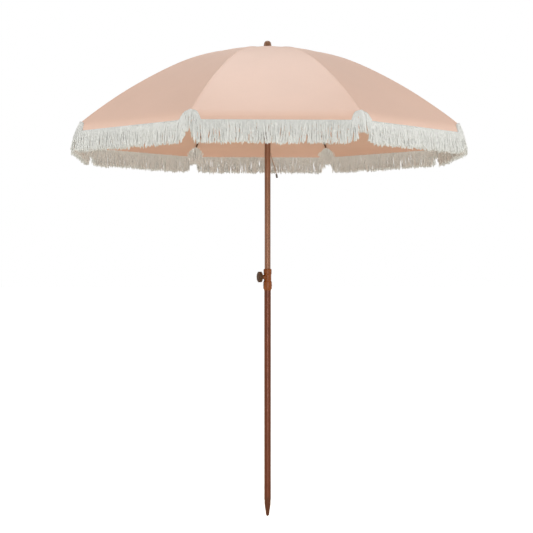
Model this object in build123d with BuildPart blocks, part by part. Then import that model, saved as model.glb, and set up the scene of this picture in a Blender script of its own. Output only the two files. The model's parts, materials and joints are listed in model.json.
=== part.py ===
"""Fringed eight-rib beach umbrella with a two-part telescoping pole.

Millimetres, +Z up. The origin is the tip of the ground spike, on the pole's axis.
The canopy is open and its ribs stand at 22.5 degrees and every 45 degrees after that.
"""

import os
from math import cos, pi, radians, sin, sqrt, tan

from build123d import *

# Overall
total_height = 2000.0
rib_count = 8
first_rib_angle = 22.5
rib_pitch = 360.0 / rib_count
body_gap = 0.3

# Pole. The lower tube is as wide as the upper tube that slides in it asks for.
upper_tube_diameter = 25.0
tube_wall = 1.2
seat_clearance = 0.1
lower_tube_share = 0.4925
upper_foot_share = 0.35
foot_plug_depth = 15.0
foot_plug_flange = 4.0

# Ground spike, as heights of its outline and how far it is in from the tube there
spike_height = 80.0
spike_plug_depth = 40.0
spike_nose_radius = 7.0
spike_nose_height = 8.0
spike_nose_arc = 9.5
spike_flank_growth = 1.8
spike_flank_top = 25.0
spike_belly_height = 44.0
spike_belly_inset = 2.0
spike_ogive_top = 67.0
spike_ogive_inset = 1.0
spike_shoulder_top = 70.0

# Collar that clamps the two tubes, placed from the top of the lower tube
collar_seat_depth = 36.0
collar_rise = 55.0
collar_wall = 3.9
collar_waist_wall = 1.4
collar_upper_step = 1.0
collar_lip_inset = 3.0
collar_lip_height = 4.0
collar_ring_height = 28.0
collar_crown_height = 20.0
collar_crown_bevel = 3.0
collar_crown_inset = 2.0
tube_seat_step = 0.2
tube_seat_margin = 2.0
rivet_diameter = 4.0
rivet_depth = 14.0
rivet_head_share = 0.9
rivet_head_height_share = 0.35
rivet_head_taper = 25.0

# Clamp knob
knob_rise = 21.0
knob_heading = 200.0
knob_diameter = 45.0
knob_thickness = 12.0
knob_flutes = 14
knob_flute_radius = 3.6
knob_flute_shift = 2.2
knob_edge_radius = 1.5
knob_button_share = 0.3
knob_button_height = 1.6
knob_button_taper = 30.0
knob_stand_off = 1.9
boss_root_radius = 12.5
boss_end_radius = 7.5
insert_length = 9.6
insert_wall = 2.4
stud_diameter = 6.0
stud_grip_share = 0.75
pad_diameter = 8.0
pad_thickness = 3.0
pad_travel = 2.0

# Crown and finial
finial_height = 42.0
finial_diameter = 33.0
finial_foot_inset = 1.0
finial_rim_height = 2.0
finial_wall_share = 0.36
bolt_diameter = 8.0
bolt_reach_share = 0.6
bolt_head_share = 0.8
bolt_head_height_share = 0.6
cap_thickness = 1.0
cap_diameter = 47.0
crown_disc_height = 17.0
crown_roof = 9.5
crown_gap = 3.0
crown_sleeve_height = 30.0
crown_sleeve_wall = 3.4
crown_pivot_drop = 11.0
disc_rim = 5.0
disc_chamfer = 1.0
hinge_wire_diameter = 2.0

# Canopy, as the curve of its outer face along a rib
fabric_thickness = 1.0
canopy_flat_radius = 60.0
shoulder_radius = 800.0
shoulder_turn = 25.5
skirt_radius = 2000.0
skirt_turn = 13.8
valance_drop = 50.0
valance_flare = 15.0
fringe_drop = 76.0
fringe_flare = 20.0
fringe_thickness = 6.0

fringe_top_share = 0.7

# Ribs and stretchers
rod_diameter = 4.0
cloth_clearance = 0.8
rib_clip_length = 18.0
rib_clip_wall = 1.4
rib_lug_wall = 1.0
rib_joint_depth = 4.5
rib_joint_turn = 22.5
rivet_shank_diameter = 3.0
rib_tip_length = 24.0
rib_tip_setback = 2.0
eye_radius = 4.0
eye_clearance = 0.9
slot_clearance = 0.4

# Runner
runner_pivot_drop = 338.5
runner_pivot_reach = 10.0
runner_disc_height = 18.0
runner_sleeve_height = 21.5
runner_sleeve_wall = 3.2

# Runner catch
catch_width = 5.0
catch_height = 11.0
catch_lip = 3.0
catch_leaf_thickness = 1.2
catch_leaf_length = 42.0
catch_bevel_share = 0.8
catch_heading = 90.0

# Tie strap, as a route from the middle of the rear panel's edge: along it, outwards and up
strap_diameter = 4.0
strap_end_length = 18.0
strap_end_diameter = 9.0
strap_end_fillet = 1.0
strap_corner_share = 0.45
strap_route = [
    (46.0, -2.48, -29.28),
    (48.5, -7.98, -47.28),
    (53.5, -9.48, -68.28),
    (61.5, -8.98, -89.28),
    (69.0, -8.98, -109.28),
    (72.5, -8.48, -131.28),
]

# Worked out from the sizes above
upper_radius = upper_tube_diameter / 2
upper_bore = upper_radius - tube_wall
slide_bore = upper_radius + body_gap
lower_bore = slide_bore
lower_radius = lower_bore + tube_wall
lower_tube_top = total_height * lower_tube_share
upper_tube_foot = total_height * upper_foot_share
collar_base = lower_tube_top - collar_seat_depth
collar_top = lower_tube_top + collar_rise
tube_seat_radius = lower_radius - tube_seat_step
tube_seat_foot = collar_base - tube_seat_margin
rivet_height = lower_tube_top - rivet_depth
knob_height = lower_tube_top + knob_rise
cap_top = total_height - finial_height
canopy_top = cap_top - cap_thickness - body_gap
crown_top = canopy_top - fabric_thickness - 4 * body_gap - crown_gap
crown_pivot_height = canopy_top - crown_pivot_drop
crown_base = crown_top - crown_disc_height
tube_top = crown_top - crown_roof
runner_pivot_height = crown_pivot_height - runner_pivot_drop
wire_radius = hinge_wire_diameter / 2
rod_radius = rod_diameter / 2
slot_half = rod_radius + slot_clearance
clip_radius = rod_radius + rib_clip_wall
rib_depth = fabric_thickness + clip_radius + cloth_clearance
stretcher_offset = rod_diameter + rib_clip_wall + 2 * body_gap
crown_pivot_radius = upper_radius + seat_clearance + crown_sleeve_wall + eye_radius
crown_radius = crown_pivot_radius + disc_rim
runner_pivot_radius = slide_bore + runner_sleeve_wall + runner_pivot_reach
runner_radius = runner_pivot_radius + disc_rim
half_pitch = rib_pitch / 2


def arc_end(start, heading, radius, turn):
    """Where an arc that bends downwards by turn degrees ends, and its heading there."""
    after = heading - turn
    across = start[0] + radius * (sin(radians(-after)) - sin(radians(-heading)))
    down = start[1] - radius * (cos(radians(-heading)) - cos(radians(-after)))
    return (across, down), after


shoulder_end, shoulder_heading = arc_end(
    (canopy_flat_radius, canopy_top), 0.0, shoulder_radius, shoulder_turn
)
skirt_end, skirt_heading = arc_end(shoulder_end, shoulder_heading, skirt_radius, skirt_turn)


def below(point, heading, depth):
    """A point moved square to the fabric, into the canopy."""
    return (
        point[0] + depth * sin(radians(heading)),
        point[1] - depth * cos(radians(heading)),
    )


joint_cloth, joint_heading = arc_end(
    (canopy_flat_radius, canopy_top), 0.0, shoulder_radius, rib_joint_turn
)
rib_joint = below(joint_cloth, joint_heading, rib_depth + rib_joint_depth)
stretcher_foot = (
    sqrt(runner_pivot_radius**2 - stretcher_offset**2),
    runner_pivot_height,
)
valance_end = (skirt_end[0] + valance_flare, skirt_end[1] - valance_drop)
fringe_end = (valance_end[0] + fringe_flare, valance_end[1] - fringe_drop)
rear_edge = skirt_end[0] * cos(radians(half_pitch))
strap_points = [(x, rear_edge + y, skirt_end[1] + z) for x, y, z in strap_route]

knob_direction = Vector(cos(radians(knob_heading)), sin(radians(knob_heading)), 0)
catch_direction = Vector(cos(radians(catch_heading)), sin(radians(catch_heading)), 0)


def directions(number):
    """The outward and sideways directions of one rib."""
    turn = radians(first_rib_angle + number * rib_pitch)
    return Vector(cos(turn), sin(turn), 0), Vector(-sin(turn), cos(turn), 0)


def rib_plane(number, sideways=0.0):
    """The upright plane of one rib: its X runs outwards and its Y runs up."""
    outwards, across = directions(number)
    return Plane(origin=across * sideways, x_dir=outwards, z_dir=-across)


def side_plane(heading, height, reach):
    """A plane square to a horizontal direction, at a reach from the pole's axis."""
    return Plane(
        origin=heading * reach + Vector(0, 0, height), x_dir=(0, 0, 1), z_dir=heading
    )


def save(piece, name):
    """Label a finished piece and write it."""
    piece.part.label = name
    export_step(piece.part, f"parts/{name}.step")


os.makedirs("parts", exist_ok=True)

# ---------------------------------------------------------------- pole

with BuildPart() as lower_tube:
    with BuildSketch(Plane.XY.offset(spike_height)):
        Circle(lower_radius)
        Circle(lower_bore, mode=Mode.SUBTRACT)
    extrude(amount=lower_tube_top - spike_height)
    with BuildSketch(Plane.XY.offset(tube_seat_foot)):
        Circle(lower_radius)
        Circle(tube_seat_radius, mode=Mode.SUBTRACT)
    extrude(amount=lower_tube_top - tube_seat_foot, mode=Mode.SUBTRACT)
    for side in (1, -1):
        with BuildSketch(side_plane(knob_direction * side, rivet_height, 0)):
            Circle(rivet_diameter / 2)
        extrude(amount=2 * lower_radius, mode=Mode.SUBTRACT)
save(lower_tube, "lower_tube")

with BuildPart() as ground_spike:
    with BuildSketch(Plane.XZ):
        with BuildLine():
            nose = RadiusArc((0, 0), (spike_nose_radius, spike_nose_height), -spike_nose_arc)
            flank = Line(nose @ 1, (spike_nose_radius + spike_flank_growth, spike_flank_top))
            ogive = ThreePointArc(
                flank @ 1,
                (lower_radius - spike_belly_inset, spike_belly_height),
                (lower_radius - spike_ogive_inset, spike_ogive_top),
            )
            shoulder = Line(ogive @ 1, (lower_radius, spike_shoulder_top))
            Polyline(
                shoulder @ 1,
                (lower_radius, spike_height),
                (lower_bore - seat_clearance, spike_height),
                (lower_bore - seat_clearance, spike_height + spike_plug_depth),
                (0, spike_height + spike_plug_depth),
                (0, 0),
            )
        make_face()
    revolve(axis=Axis.Z)
save(ground_spike, "ground_spike")

with BuildPart() as upper_tube:
    with BuildSketch(Plane.XY.offset(upper_tube_foot)):
        Circle(upper_radius)
        Circle(upper_bore, mode=Mode.SUBTRACT)
    extrude(amount=tube_top - upper_tube_foot)
    catch_top = runner_pivot_height - runner_disc_height / 2 - runner_sleeve_height - body_gap
    with BuildSketch(side_plane(catch_direction, catch_top - catch_height / 2, 0)):
        Rectangle(catch_height + 2 * slot_clearance, catch_width + 2 * slot_clearance)
    extrude(amount=upper_tube_diameter, mode=Mode.SUBTRACT)
save(upper_tube, "upper_tube")

with BuildPart() as foot_plug:
    with BuildSketch(Plane.XY.offset(upper_tube_foot)):
        Circle(upper_bore - seat_clearance)
    extrude(amount=foot_plug_depth)
    with BuildSketch(Plane.XY.offset(upper_tube_foot - foot_plug_flange)):
        Circle(upper_radius - seat_clearance)
    extrude(amount=foot_plug_flange)
    chamfer(foot_plug.edges().group_by(Axis.Z)[0], foot_plug_flange / 3)
save(foot_plug, "foot_plug")

# ---------------------------------------------------------------- collar and clamp knob

sleeve_bore = tube_seat_radius + seat_clearance
outer_bore = lower_radius + seat_clearance
ring_radius = outer_bore + collar_wall
waist_radius = outer_bore + collar_waist_wall
upper_ring_radius = ring_radius - collar_upper_step
lip_radius = ring_radius - collar_lip_inset
ring_foot = collar_base + 2 * collar_lip_height
ring_top = ring_foot + collar_ring_height
pad_face = upper_radius + seat_clearance
pad_back = pad_face + pad_thickness
pocket_end = pad_back + pad_travel + body_gap
boss_reach = pocket_end + insert_length
insert_radius = stud_diameter / 2 + insert_wall

with BuildPart() as height_collar:
    with BuildSketch(Plane.XZ):
        with BuildLine():
            Polyline(
                (0, collar_base),
                (lip_radius, collar_base),
                (lip_radius, collar_base + collar_lip_height),
                (ring_radius, ring_foot),
                (ring_radius, ring_top),
                (waist_radius, ring_top + collar_lip_height),
                (waist_radius, collar_top - collar_crown_height - collar_lip_height),
                (upper_ring_radius, collar_top - collar_crown_height),
                (upper_ring_radius, collar_top - collar_crown_bevel),
                (upper_ring_radius - collar_crown_inset, collar_top),
                (0, collar_top),
                close=True,
            )
        make_face()
    revolve(axis=Axis.Z)
    with BuildSketch(side_plane(knob_direction, knob_height, 0)):
        Circle(boss_root_radius)
    with BuildSketch(side_plane(knob_direction, knob_height, boss_reach)):
        Circle(boss_end_radius)
    loft()
    with BuildSketch(Plane.XY.offset(collar_base)):
        Circle(slide_bore)
    extrude(amount=collar_top - collar_base, mode=Mode.SUBTRACT)
    with BuildSketch(Plane.XY.offset(collar_base)):
        Circle(sleeve_bore)
    extrude(amount=lower_tube_top - collar_base, mode=Mode.SUBTRACT)
    with BuildSketch(side_plane(knob_direction, knob_height, 0)):
        Circle(pad_diameter / 2 + body_gap)
    extrude(amount=pocket_end, mode=Mode.SUBTRACT)
    with BuildSketch(side_plane(knob_direction, knob_height, pocket_end)):
        Circle(insert_radius)
    extrude(amount=boss_reach - pocket_end, mode=Mode.SUBTRACT)
    for side in (1, -1):
        with BuildSketch(side_plane(knob_direction * side, rivet_height, 0)):
            Circle(rivet_diameter / 2)
        extrude(amount=2 * lower_radius, mode=Mode.SUBTRACT)
save(height_collar, "height_collar")

with BuildPart() as collar_insert:
    with BuildSketch(side_plane(knob_direction, knob_height, pocket_end)):
        Circle(insert_radius)
        Circle(stud_diameter / 2 + seat_clearance, mode=Mode.SUBTRACT)
    extrude(amount=boss_reach - pocket_end)
save(collar_insert, "collar_insert")

with BuildPart() as collar_rivets:
    for side in (1, -1):
        heading = knob_direction * side
        with BuildSketch(side_plane(heading, rivet_height, lower_bore)):
            Circle(rivet_diameter / 2)
        extrude(amount=ring_radius - lower_bore)
        with BuildSketch(side_plane(heading, rivet_height, ring_radius)):
            Circle(rivet_diameter * rivet_head_share)
        extrude(amount=rivet_diameter * rivet_head_height_share, taper=rivet_head_taper)
save(collar_rivets, "collar_rivets")

with BuildPart() as clamp_pad:
    with BuildSketch(side_plane(knob_direction, knob_height, upper_bore)):
        Circle(pad_diameter / 2)
    extrude(amount=pad_back - upper_bore)
    with BuildSketch(Plane.XY.offset(knob_height - pad_diameter)):
        Circle(pad_face)
    extrude(amount=2 * pad_diameter, mode=Mode.SUBTRACT)
save(clamp_pad, "clamp_pad")

knob_start = boss_reach + knob_stand_off
stud_end = knob_start + knob_thickness * stud_grip_share
knob_axis = Axis(origin=(0, 0, 0), direction=knob_direction)

with BuildPart() as clamp_knob:
    with BuildSketch(side_plane(knob_direction, knob_height, knob_start)):
        Circle(knob_diameter / 2)
        with PolarLocations(knob_diameter / 2 + knob_flute_shift, knob_flutes):
            Circle(knob_flute_radius, mode=Mode.SUBTRACT)
    extrude(amount=knob_thickness)
    fillet(clamp_knob.faces().sort_by(knob_axis)[-1].edges(), knob_edge_radius)
    with BuildSketch(side_plane(knob_direction, knob_height, knob_start + knob_thickness)):
        Circle(knob_diameter * knob_button_share)
    extrude(amount=knob_button_height, taper=knob_button_taper)
    with BuildSketch(side_plane(knob_direction, knob_height, knob_start)):
        Circle(stud_diameter / 2)
    extrude(amount=stud_end - knob_start, mode=Mode.SUBTRACT)
save(clamp_knob, "clamp_knob")

with BuildPart() as clamp_stud:
    with BuildSketch(side_plane(knob_direction, knob_height, pad_back + seat_clearance)):
        Circle(stud_diameter / 2)
    extrude(amount=stud_end - pad_back - seat_clearance)
save(clamp_stud, "clamp_stud")

# ---------------------------------------------------------------- crown and finial

with BuildPart() as crown:
    sleeve_radius = upper_radius + seat_clearance + crown_sleeve_wall
    with BuildSketch(Plane.XY.offset(crown_base - crown_sleeve_height)):
        Circle(sleeve_radius)
    extrude(amount=crown_sleeve_height)
    chamfer(crown.edges().group_by(Axis.Z)[0], crown_sleeve_wall / 3)
    with BuildSketch(Plane.XY.offset(crown_base)):
        Circle(crown_radius)
    extrude(amount=crown_disc_height)
    chamfer(crown.edges().group_by(Axis.Z)[-1], disc_chamfer)
    with BuildSketch(Plane.XY.offset(crown_base - crown_sleeve_height)):
        Circle(upper_radius + seat_clearance)
    extrude(amount=tube_top - crown_base + crown_sleeve_height, mode=Mode.SUBTRACT)
    with BuildSketch(Plane.XY.offset(tube_top)):
        Circle(bolt_diameter / 2 + seat_clearance)
    extrude(amount=crown_top - tube_top, mode=Mode.SUBTRACT)
    with BuildSketch(Plane.XY.offset(crown_base)):
        with PolarLocations(crown_pivot_radius + crown_radius / 2, rib_count, first_rib_angle):
            Rectangle(crown_radius + 2 * (eye_radius + slot_clearance), 2 * slot_half)
    extrude(amount=crown_disc_height, mode=Mode.SUBTRACT)
    with BuildSketch(Plane.XY.offset(crown_pivot_height - wire_radius)):
        Circle(crown_pivot_radius + wire_radius + seat_clearance)
        Circle(crown_pivot_radius - wire_radius - seat_clearance, mode=Mode.SUBTRACT)
    extrude(amount=crown_top - crown_pivot_height + wire_radius, mode=Mode.SUBTRACT)
save(crown, "crown")


def wire_ring(radius, height):
    """A closed ring of hinge wire."""
    with BuildPart() as ring:
        with BuildSketch(Plane.XZ):
            with Locations((radius, height)):
                Circle(wire_radius)
        revolve(axis=Axis.Z)
    return ring


save(wire_ring(crown_pivot_radius, crown_pivot_height), "crown_wire")

with BuildPart() as top_cap:
    with BuildSketch(Plane.XY.offset(canopy_top + body_gap)):
        Circle(cap_diameter / 2)
        Circle(bolt_diameter / 2 + seat_clearance, mode=Mode.SUBTRACT)
    extrude(amount=cap_thickness)
save(top_cap, "top_cap")

bolt_end = cap_top + finial_height * bolt_reach_share
finial_radius = finial_diameter / 2
finial_wall_top = cap_top + finial_height * finial_wall_share

with BuildPart() as finial:
    with BuildSketch(Plane.XZ):
        with BuildLine():
            foot = Line((0, cap_top), (finial_radius - finial_foot_inset, cap_top))
            rim = Line(foot @ 1, (finial_radius, cap_top + finial_rim_height))
            wall = Line(rim @ 1, (finial_radius, finial_wall_top))
            dome = Spline(wall @ 1, (0, total_height), tangents=((0, 1), (-1, 0)))
            Line(dome @ 1, (0, cap_top))
        make_face()
    revolve(axis=Axis.Z)
    with BuildSketch(Plane.XY.offset(cap_top)):
        Circle(bolt_diameter / 2)
    extrude(amount=bolt_end - cap_top, mode=Mode.SUBTRACT)
save(finial, "finial")

with BuildPart() as finial_bolt:
    with BuildSketch(Plane.XY.offset(tube_top)):
        Circle(bolt_diameter / 2)
    extrude(amount=bolt_end - tube_top)
    with BuildSketch(Plane.XY.offset(tube_top)):
        RegularPolygon(bolt_diameter * bolt_head_share, 6)
    extrude(amount=-bolt_diameter * bolt_head_height_share)
save(finial_bolt, "finial_bolt")

# ---------------------------------------------------------------- runner and its catch

runner_disc_base = runner_pivot_height - runner_disc_height / 2
catch_axis = Axis(origin=(0, 0, 0), direction=catch_direction)

with BuildPart() as runner:
    with BuildSketch(Plane.XY.offset(runner_disc_base - runner_sleeve_height)):
        Circle(slide_bore + runner_sleeve_wall)
    extrude(amount=runner_sleeve_height)
    chamfer(runner.edges().group_by(Axis.Z)[0], runner_sleeve_wall / 3)
    with BuildSketch(Plane.XY.offset(runner_disc_base)):
        Circle(runner_radius)
    extrude(amount=runner_disc_height)
    chamfer(runner.edges().group_by(Axis.Z)[-1], disc_chamfer)
    with BuildSketch(Plane.XY.offset(runner_disc_base - runner_sleeve_height)):
        Circle(slide_bore)
    extrude(amount=runner_disc_height + runner_sleeve_height, mode=Mode.SUBTRACT)
    slot_start = stretcher_foot[0] - eye_radius - slot_clearance
    for number in range(rib_count):
        outwards, across = directions(number)
        middle = outwards * (slot_start + runner_radius / 2) + across * stretcher_offset
        slot_plane = Plane(
            origin=middle + Vector(0, 0, runner_disc_base), x_dir=outwards, z_dir=(0, 0, 1)
        )
        with BuildSketch(slot_plane):
            Rectangle(runner_radius, 2 * slot_half)
        extrude(amount=runner_disc_height, mode=Mode.SUBTRACT)
    with BuildSketch(Plane.XY.offset(runner_pivot_height - wire_radius)):
        Circle(runner_pivot_radius + wire_radius + seat_clearance)
        Circle(runner_pivot_radius - wire_radius - seat_clearance, mode=Mode.SUBTRACT)
    extrude(amount=runner_disc_height, mode=Mode.SUBTRACT)
save(runner, "runner")

save(wire_ring(runner_pivot_radius, runner_pivot_height), "runner_wire")

with BuildPart() as runner_catch:
    leaf_outside = upper_bore - 2 * body_gap
    with BuildSketch(side_plane(catch_direction, catch_top - catch_height / 2, leaf_outside)):
        Rectangle(catch_height, catch_width)
    extrude(amount=upper_radius + catch_lip - leaf_outside)
    lip_edges = runner_catch.edges().group_by(catch_axis)[-1]
    chamfer(lip_edges.sort_by(Axis.Z)[0], catch_lip * catch_bevel_share)
    leaf_plane = side_plane(
        catch_direction,
        catch_top - catch_leaf_length / 2,
        leaf_outside - catch_leaf_thickness,
    )
    with BuildSketch(leaf_plane):
        Rectangle(catch_leaf_length, catch_width)
    extrude(amount=catch_leaf_thickness)
save(runner_catch, "runner_catch")

# ---------------------------------------------------------------- ribs, stretchers and fabric


def make_rib(number):
    """A sprung rod that follows the underside of the fabric, with a flat hinge eye."""
    plane = rib_plane(number)
    eye_centre = (crown_pivot_radius, crown_pivot_height)
    rod_start = (crown_radius + eye_radius, canopy_top - rib_depth)
    with BuildPart() as rib:
        with BuildLine(plane) as spine:
            flat = Line(rod_start, (canopy_flat_radius, canopy_top - rib_depth))
            shoulder = JernArc(
                start=flat @ 1,
                tangent=flat % 1,
                radius=shoulder_radius - rib_depth,
                arc_size=-shoulder_turn,
            )
            JernArc(
                start=shoulder @ 1,
                tangent=shoulder % 1,
                radius=skirt_radius - rib_depth,
                arc_size=-skirt_turn,
            )
        with BuildSketch(Plane(origin=spine.line @ 0, z_dir=spine.line % 0)):
            Circle(rod_radius)
        sweep(path=spine.line)
        with BuildSketch(plane):
            with Locations(eye_centre):
                Circle(eye_radius)
            with Locations(rod_start):
                Circle(rod_radius)
            make_hull()
            with Locations(eye_centre):
                Circle(wire_radius + slot_clearance, mode=Mode.SUBTRACT)
        extrude(amount=rod_radius, both=True)
    return rib


def make_rib_fittings(number):
    """The joint clip with its rivet, and the tip ferrule, as separate solids."""
    plane = rib_plane(number)
    clip_centre = below(joint_cloth, joint_heading, rib_depth)
    tip_centre = below(skirt_end, skirt_heading, rib_depth)
    back = rib_tip_length / 2 + rib_tip_setback
    ferrule_centre = (
        tip_centre[0] - back * cos(radians(skirt_heading)),
        tip_centre[1] - back * sin(radians(skirt_heading)),
    )
    with BuildPart() as fittings:
        for centre, heading, length in (
            (clip_centre, joint_heading, rib_clip_length),
            (ferrule_centre, skirt_heading, rib_tip_length),
        ):
            along = plane.x_dir * cos(radians(heading)) + plane.y_dir * sin(radians(heading))
            middle = plane.from_local_coords(Vector(centre[0], centre[1], 0))
            with BuildSketch(Plane(origin=middle - along * (length / 2), z_dir=along)):
                Circle(clip_radius)
                Circle(rod_radius + seat_clearance, mode=Mode.SUBTRACT)
            extrude(amount=length)
        with BuildSketch(plane):
            with Locations(clip_centre):
                Circle(rod_radius + rib_lug_wall)
            with Locations(rib_joint):
                Circle(rod_radius + rib_lug_wall)
            make_hull()
            with Locations(clip_centre):
                Circle(rod_radius + seat_clearance, mode=Mode.SUBTRACT)
            with Locations(clip_centre):
                Rectangle(
                    2 * rib_clip_length,
                    2 * (rod_radius + seat_clearance),
                    rotation=joint_heading,
                    mode=Mode.SUBTRACT,
                )
        extrude(amount=rod_radius, both=True)
        with BuildSketch(plane):
            with Locations(rib_joint):
                Circle(rivet_shank_diameter / 2)
        extrude(amount=-(stretcher_offset - rod_radius - slot_clearance))
    return fittings


def make_stretcher(number):
    """A straight rod beside the rib, with a flat eye at each end."""
    plane = rib_plane(number, stretcher_offset)
    with BuildPart() as stretcher:
        with BuildLine(plane) as spine:
            Line(stretcher_foot, rib_joint)
        with BuildSketch(Plane(origin=spine.line @ 0, z_dir=spine.line % 0)):
            Circle(rod_radius)
        sweep(path=spine.line)
        for centre, hole in (
            (stretcher_foot, wire_radius + eye_clearance),
            (rib_joint, rivet_shank_diameter / 2 + slot_clearance),
        ):
            with BuildSketch(plane):
                with Locations(centre):
                    Circle(eye_radius)
            extrude(amount=rod_radius, both=True)
            with BuildSketch(plane):
                with Locations(centre):
                    Circle(hole)
            extrude(amount=rod_radius, both=True, mode=Mode.SUBTRACT)
    return stretcher


def panel_directions(number):
    """The two hem directions that meet at a rib, and the outward directions of their panels."""
    turns = [radians(first_rib_angle + number * rib_pitch + side * half_pitch) for side in (1, -1)]
    outwards = [Vector(cos(turn), sin(turn), 0) for turn in turns]
    hems = [
        Vector(-outwards[0].Y, outwards[0].X, 0),
        Vector(outwards[1].Y, -outwards[1].X, 0),
    ]
    return list(zip(hems, outwards))


def make_strip(number, outline, reach):
    """A strip of cloth centred on a rib: an outline in the rib's plane, drawn out along the
    two panels that meet there and cut short of each panel's middle."""
    plane = rib_plane(number)
    halves = []
    for hem, outwards in panel_directions(number):
        with BuildPart() as half:
            with BuildSketch(plane):
                with BuildLine():
                    outline()
                make_face()
            extrude(amount=reach, dir=hem)
            middle = Plane(origin=-hem * (body_gap / 2), x_dir=outwards, z_dir=hem)
            split(bisect_by=middle, keep=Keep.BOTTOM)
        halves.append(half.part)
    with BuildPart() as strip:
        for half_part in halves:
            add(half_part)
    return strip


def canopy_outline():
    """The section of the canopy along a rib: two parallel runs of tangent arcs."""
    ends = []
    for depth in (0.0, fabric_thickness):
        flat = Line(
            (crown_pivot_radius, canopy_top - depth), (canopy_flat_radius, canopy_top - depth)
        )
        shoulder = JernArc(
            start=flat @ 1, tangent=flat % 1, radius=shoulder_radius - depth, arc_size=-shoulder_turn
        )
        skirt = JernArc(
            start=shoulder @ 1,
            tangent=shoulder % 1,
            radius=skirt_radius - depth,
            arc_size=-skirt_turn,
        )
        ends.append((flat @ 0, skirt @ 1))
    Line(ends[0][0], ends[1][0])
    Line(ends[0][1], ends[1][1])


def fringe_outline():
    """The section of the hanging hem and its fringe along a rib."""
    top = below(skirt_end, skirt_heading + 90, 2 * body_gap)
    Polyline(
        top,
        valance_end,
        fringe_end,
        (fringe_end[0] - fringe_thickness, fringe_end[1]),
        (valance_end[0] - fringe_thickness * fringe_top_share, valance_end[1]),
        below(top, skirt_heading, 2 * fabric_thickness),
        close=True,
    )


for number in range(rib_count):
    save(make_rib(number), f"rib_{number + 1}")
    save(make_rib_fittings(number), f"rib_fittings_{number + 1}")
    save(make_stretcher(number), f"stretcher_{number + 1}")
    save(make_strip(number, canopy_outline, skirt_end[0]), f"canopy_gore_{number + 1}")
    save(make_strip(number, fringe_outline, fringe_end[0]), f"fringe_{number + 1}")

# ---------------------------------------------------------------- tie strap


def corner_radii(points):
    """The largest arc that each corner of a route has room for."""
    places = [Vector(*point) for point in points]
    radii = []
    for before, at, after in zip(places, places[1:], places[2:]):
        turn = radians((at - before).get_angle(after - at))
        shorter = min((at - before).length, (after - at).length)
        radii.append(strap_corner_share * shorter / tan(turn / 2))
    return radii


strap_radii = corner_radii(strap_points)
print("strap corner radii", [round(radius, 1) for radius in strap_radii])

with BuildPart() as tie_strap:
    with BuildLine() as route:
        FilletPolyline(*strap_points, radius=strap_radii)
    with BuildSketch(Plane(origin=route.line @ 0, z_dir=route.line % 0)):
        Circle(strap_diameter / 2)
    sweep(path=route.line)
strap_length = sum(edge.length for edge in route.edges())
print("strap length", round(strap_length, 1), "volume", round(tie_strap.part.volume, 1))
print("section times length", round(strap_length * pi * strap_diameter**2 / 4, 1))
save(tie_strap, "tie_strap")

with BuildPart() as strap_end:
    with BuildSketch(Plane(origin=route.line @ 1, z_dir=route.line % 1)):
        Circle(strap_end_diameter / 2)
    extrude(amount=strap_end_length)
    fillet(strap_end.edges(), strap_end_fillet)
save(strap_end, "strap_end")
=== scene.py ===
"""Fringed beach umbrella: its cloth, hem, fringe, stitching and finishes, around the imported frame.

The script is laid out as an add-on. Lengths are metres and +Z is up, in the frame's own place.
"""

import json
import math
import random
from functools import lru_cache

import bmesh
import bpy
from mathutils import Matrix, Vector, noise


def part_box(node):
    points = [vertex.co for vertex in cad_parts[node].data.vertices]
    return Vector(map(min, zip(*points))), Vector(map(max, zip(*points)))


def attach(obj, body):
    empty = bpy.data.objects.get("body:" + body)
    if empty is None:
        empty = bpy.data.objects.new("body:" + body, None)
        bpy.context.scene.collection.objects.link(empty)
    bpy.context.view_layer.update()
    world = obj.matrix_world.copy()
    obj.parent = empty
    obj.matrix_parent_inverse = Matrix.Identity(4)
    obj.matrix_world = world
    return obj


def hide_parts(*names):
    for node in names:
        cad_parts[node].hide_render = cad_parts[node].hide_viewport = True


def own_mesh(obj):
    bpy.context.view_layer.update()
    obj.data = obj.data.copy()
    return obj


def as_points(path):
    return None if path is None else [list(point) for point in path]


bl_info = {
    "name": "Fringed Beach Umbrella",
    "version": (1, 0, 0),
    "blender": (4, 5, 0),
    "location": "View3D > Sidebar > Umbrella",
    "description": "Cloth, fringe and finishes of a fringed beach umbrella",
    "category": "Add Mesh",
}

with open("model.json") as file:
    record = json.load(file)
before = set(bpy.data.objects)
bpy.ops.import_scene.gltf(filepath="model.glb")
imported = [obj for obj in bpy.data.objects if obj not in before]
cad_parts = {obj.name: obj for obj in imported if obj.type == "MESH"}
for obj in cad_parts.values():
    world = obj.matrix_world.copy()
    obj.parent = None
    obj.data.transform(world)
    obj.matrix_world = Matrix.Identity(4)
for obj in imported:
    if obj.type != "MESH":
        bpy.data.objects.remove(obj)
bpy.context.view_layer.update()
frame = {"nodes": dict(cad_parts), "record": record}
RIB_COUNT = sum(1 for node in frame["nodes"] if node.startswith("canopy_gore_"))
RIB_PITCH = 2 * math.pi / RIB_COUNT
HALF_PITCH = RIB_PITCH / 2
FIRST_RIB = HALF_PITCH
CANOPY_TOP = max(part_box(f"canopy_gore_{k + 1}")[1][2] for k in range(RIB_COUNT))
UP = Vector((0, 0, 1))


def tone(red, green, blue):
    """A colour picked as screen values from 0 to 255, as the linear colour that shaders take."""
    shares = [value / 255 for value in (red, green, blue)]
    return tuple(s / 12.92 if s <= 0.04045 else ((s + 0.055) / 1.055) ** 2.4 for s in shares)


def length(name, description, default):
    """A size in metres that a user can set."""
    return bpy.props.FloatProperty(
        name=name, description=description, default=default, min=0, precision=4, subtype="DISTANCE"
    )


def angle(name, description, degrees):
    """An angle that a user can set."""
    return bpy.props.FloatProperty(
        name=name, description=description, default=math.radians(degrees), subtype="ANGLE"
    )


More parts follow.
